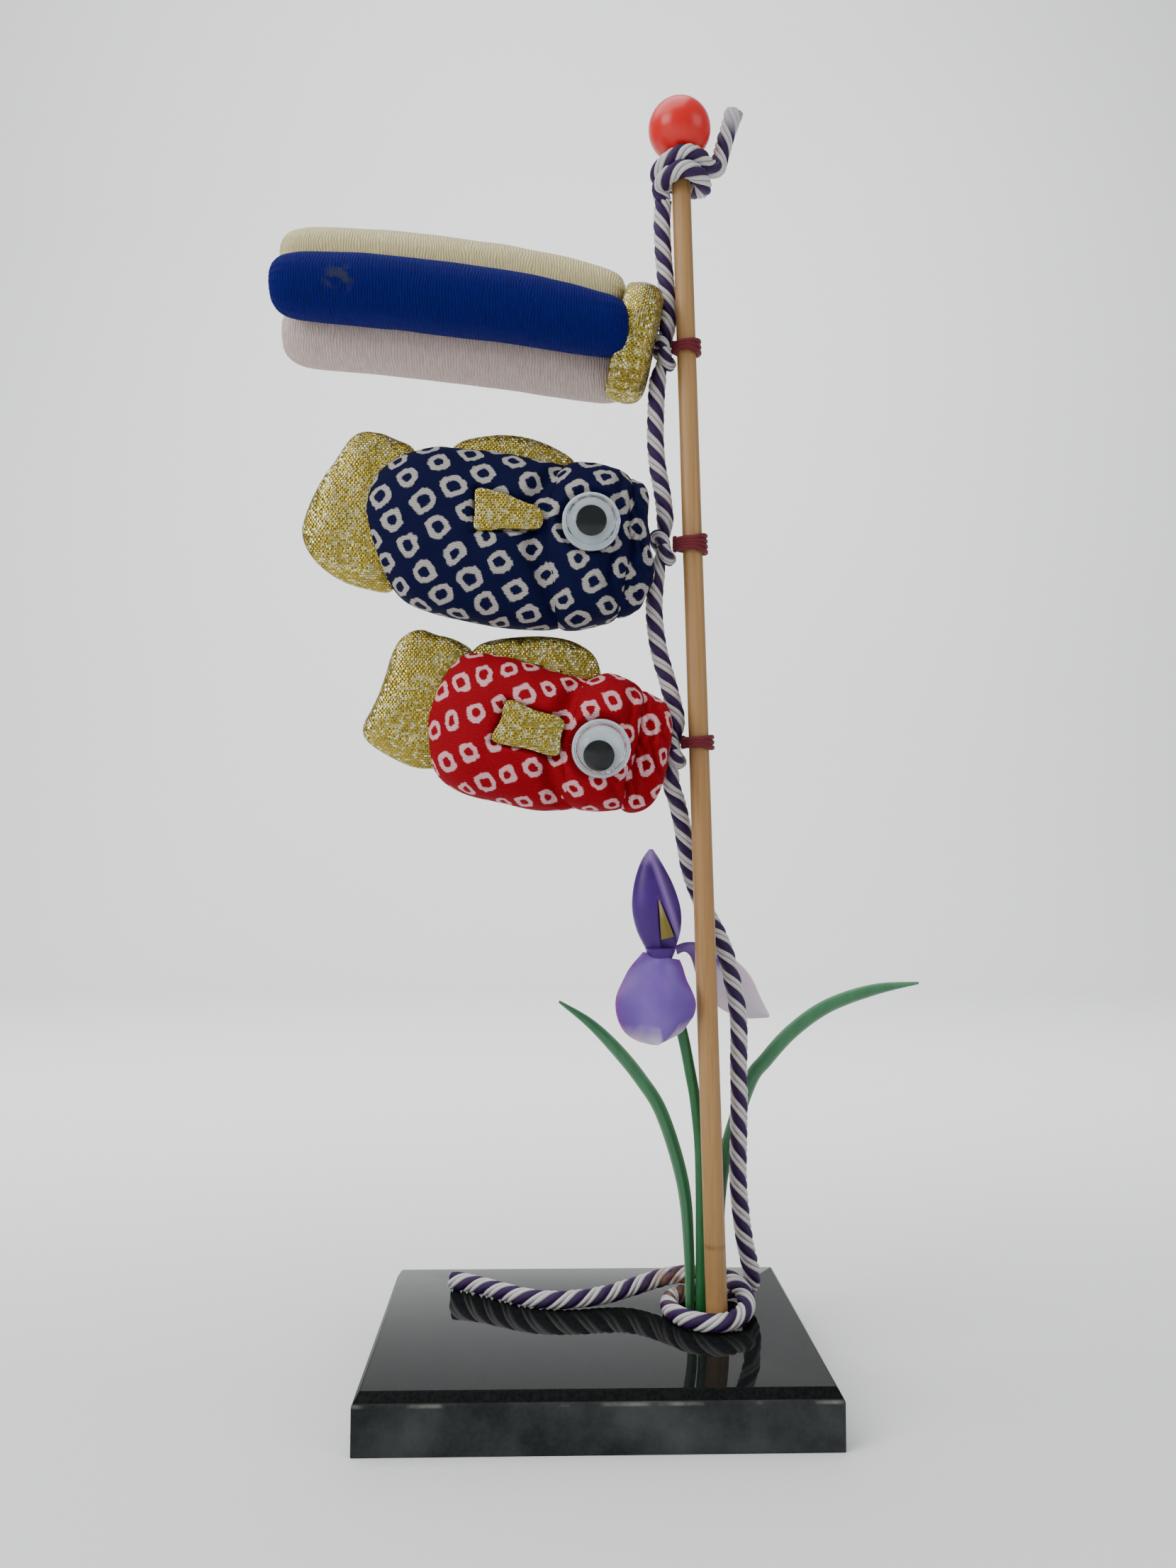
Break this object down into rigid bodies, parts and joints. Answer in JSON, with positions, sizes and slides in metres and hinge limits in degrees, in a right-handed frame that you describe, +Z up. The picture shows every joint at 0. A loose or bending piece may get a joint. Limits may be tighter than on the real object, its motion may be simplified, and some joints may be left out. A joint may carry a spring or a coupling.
{
  "type": "carp streamer ornament",
  "caption": "Desk-top carp streamer: a slim pole on a stone slab carries a stuffed windsock and stuffed cloth carp tied to a twisted cord, with a plastic iris.",
  "frame": {"origin": "middle of the slab's underside", "axes": "+Z up along the pole, +X to the right seen from the front, +Y towards the back"},
  "size_m": [0.1176, 0.06, 0.2291],
  "materials": {
    "granite": "polished",
    "bamboo": "satin",
    "red_lacquer": "gloss",
    "cord": "twisted",
    "thread": "matte",
    "blue_crepe": "matte",
    "beige_crepe": "satin",
    "white_crepe": "matte",
    "gold_lame": "shiny",
    "navy_crepe": "matte",
    "red_crepe": "matte",
    "eye_white": "gloss",
    "eye_clear": "clear",
    "pupil": "satin",
    "green_plastic": "satin",
    "violet_plastic": "satin",
    "lavender_plastic": "satin",
    "yellow_plastic": "satin"
  },
  "bodies": {
    "stand": {"base_slab": "granite", "pole": "bamboo", "finial_ball": "red_lacquer", "cord_tail_top": "cord", "cord_knot_top": "cord", "cord_run_top": "cord", "cord_run_upper": "cord", "cord_run_middle": "cord", "cord_run_lower": "cord", "cord_foot": "cord", "cord_knot_windsock": "cord", "cord_knot_navy": "cord", "cord_knot_red": "cord", "thread_winding_windsock": "thread", "thread_winding_navy": "thread", "thread_winding_red": "thread", "iris_stem": "green_plastic", "iris_leaf_left": "green_plastic", "iris_leaf_right": "green_plastic", "iris_standard_petal": "violet_plastic", "iris_cup": "violet_plastic", "iris_throat": "yellow_plastic", "iris_fall_petal": "lavender_plastic", "iris_side_petal": "lavender_plastic"},
    "windsock": {"windsock_roll_blue": "blue_crepe", "windsock_roll_beige": "beige_crepe", "windsock_roll_white": "white_crepe", "windsock_collar": "gold_lame"},
    "navy_carp": {"navy_body": "navy_crepe", "navy_head": "navy_crepe", "navy_mouth": "navy_crepe", "navy_tail": "gold_lame", "navy_dorsal_fin": "gold_lame", "navy_pectoral_fin_front": "gold_lame", "navy_eye_cup_front": "eye_white", "navy_eye_dome_front": "eye_clear", "navy_pectoral_fin_back": "gold_lame", "navy_eye_cup_back": "eye_white", "navy_eye_dome_back": "eye_clear"},
    "red_carp": {"red_body": "red_crepe", "red_head": "red_crepe", "red_mouth": "red_crepe", "red_tail": "gold_lame", "red_dorsal_fin": "gold_lame", "red_pectoral_fin_front": "gold_lame", "red_eye_cup_front": "eye_white", "red_eye_dome_front": "eye_clear", "red_pectoral_fin_back": "gold_lame", "red_eye_cup_back": "eye_white", "red_eye_dome_back": "eye_clear"},
    "navy_pupil_front_disc": {"navy_pupil_front": "pupil"},
    "navy_pupil_back_disc": {"navy_pupil_back": "pupil"},
    "red_pupil_front_disc": {"red_pupil_front": "pupil"},
    "red_pupil_back_disc": {"red_pupil_back": "pupil"}
  },
  "joints": [
    {"name": "windsock_turn", "type": "hinge", "parent": "stand", "child": "windsock", "pos_m": [0.013, -0.001, 0.183], "axis": [0, 0, 1], "range_deg": [-25, 25]},
    {"name": "navy_carp_turn", "type": "hinge", "parent": "stand", "child": "navy_carp", "pos_m": [0.0125, -0.0006, 0.1465], "axis": [0, 0, 1], "range_deg": [-25, 25]},
    {"name": "red_carp_turn", "type": "hinge", "parent": "stand", "child": "red_carp", "pos_m": [0.0148, -0.0008, 0.1095], "axis": [0, 0, 1], "range_deg": [-25, 25]},
    {"name": "navy_pupil_front_slide", "type": "slide", "parent": "navy_carp", "child": "navy_pupil_front_disc", "axis": [0, 0, 1], "range_m": [-0.0012, 0.0012]},
    {"name": "navy_pupil_back_slide", "type": "slide", "parent": "navy_carp", "child": "navy_pupil_back_disc", "axis": [0, 0, 1], "range_m": [-0.0012, 0.0012]},
    {"name": "red_pupil_front_slide", "type": "slide", "parent": "red_carp", "child": "red_pupil_front_disc", "axis": [0, 0, 1], "range_m": [0, 0.0025]},
    {"name": "red_pupil_back_slide", "type": "slide", "parent": "red_carp", "child": "red_pupil_back_disc", "axis": [0, 0, 1], "range_m": [0, 0.0025]}
  ]
}
